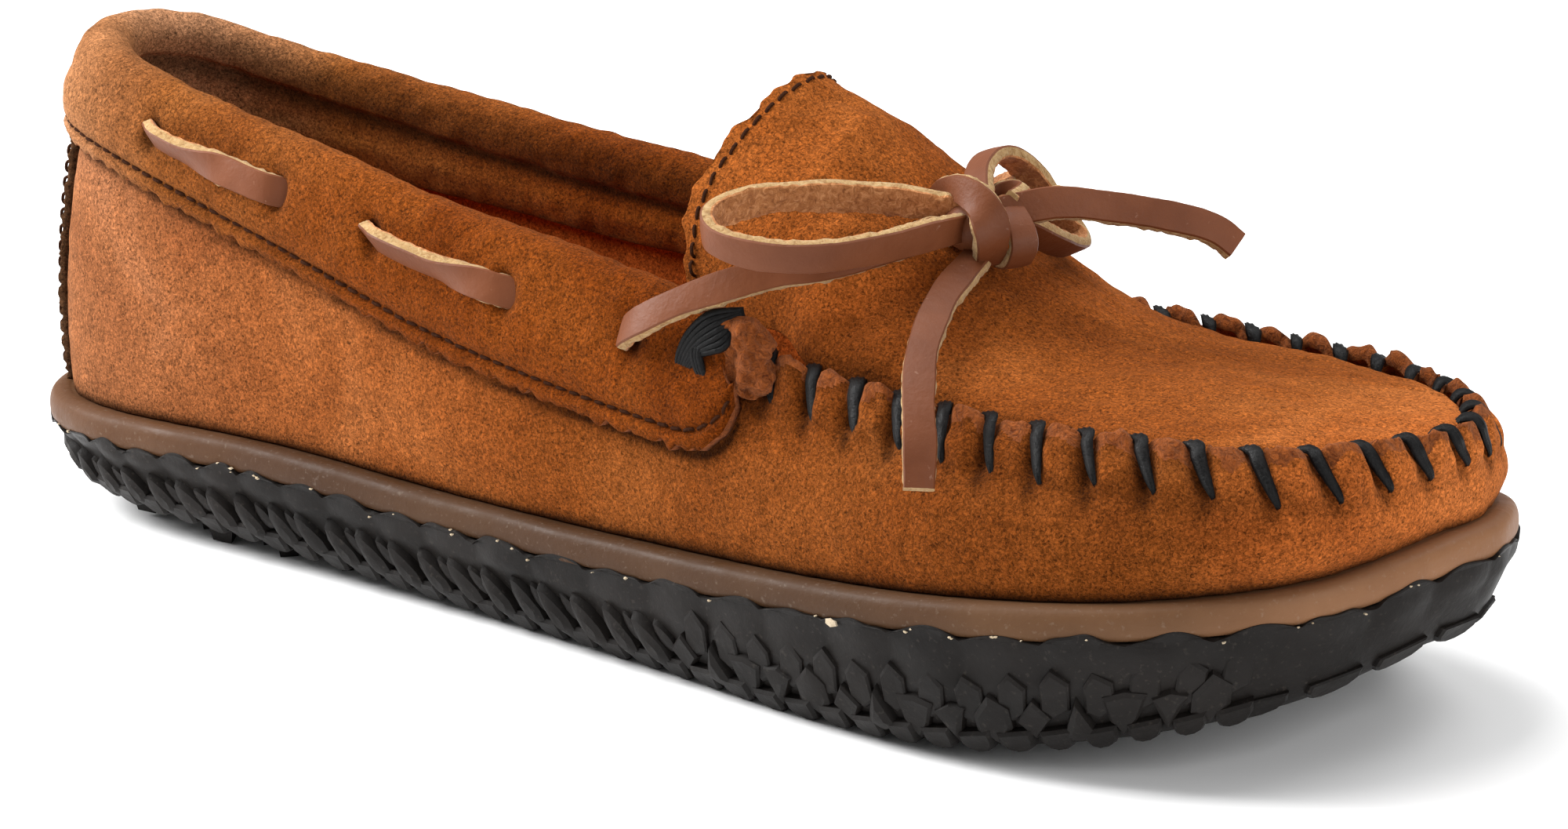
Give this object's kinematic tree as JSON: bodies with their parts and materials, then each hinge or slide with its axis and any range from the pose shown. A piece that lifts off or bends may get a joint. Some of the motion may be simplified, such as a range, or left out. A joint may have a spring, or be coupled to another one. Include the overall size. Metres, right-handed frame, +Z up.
{
  "type": "moccasin",
  "caption": "Low suede moccasin, right foot, with a lugged rubber sole, rolled collar, whip-stitched apron, free tongue and a leather lace tied in a bow",
  "frame": {"origin": "on the floor under the middle of the sole's outline (the shoe without its free lace)", "axes": "+X from heel to toe, +Y towards the inner side of the foot (medial), +Z up"},
  "size_m": [0.2846, 0.1018, 0.0935],
  "materials": {
    "outsole_rubber": "matte moulded rubber, dark grey-brown",
    "midsole_rubber": "smooth tan-brown rubber, slightly glossy",
    "fibre_board": "plain fibre board",
    "foam": "soft foam",
    "sock_suede": "thin suede",
    "suede": "napped suede, rust brown",
    "raw_suede": "raw cut suede edge, dark red brown",
    "machine_thread": "dark brown thread",
    "waxed_thread": "black waxed thread",
    "lace_leather": "smooth brown leather thong with raw tan edges"
  },
  "bodies": {
    "shoe": {"outsole": "outsole_rubber", "midsole": "midsole_rubber", "insole_board": "fibre_board", "footbed_foam": "foam", "sock_liner": "sock_suede", "moccasin_body": "suede", "heel_counter": "fibre_board", "heel_lining": "sock_suede", "heel_strip": "raw_suede", "heel_strip_stitching": "machine_thread", "apron": "suede", "apron_stitching": "waxed_thread", "collar": "suede", "collar_padding": "foam", "collar_stitching": "machine_thread", "throat_tab_lateral": "raw_suede", "throat_tab_medial": "raw_suede", "throat_stitching_lateral": "waxed_thread", "throat_stitching_medial": "waxed_thread", "lace_collar_run": "lace_leather", "lace_strand_lateral": "lace_leather", "lace_strand_medial": "lace_leather", "bow_knot": "lace_leather", "bow_loop_lateral": "lace_leather", "bow_loop_medial": "lace_leather", "lace_tail_hanging": "lace_leather", "lace_tail_front": "lace_leather"},
    "tongue": {"tongue": "suede", "tongue_lining": "suede", "tongue_stitching": "machine_thread"}
  },
  "joints": [
    {"name": "tongue_tilt", "type": "hinge", "parent": "shoe", "child": "tongue", "pos_m": [0.032, 0, 0.058], "axis": [0, 1, 0], "range_deg": [-30, 3], "stiffness_Nm_per_rad": 0.1}
  ]
}
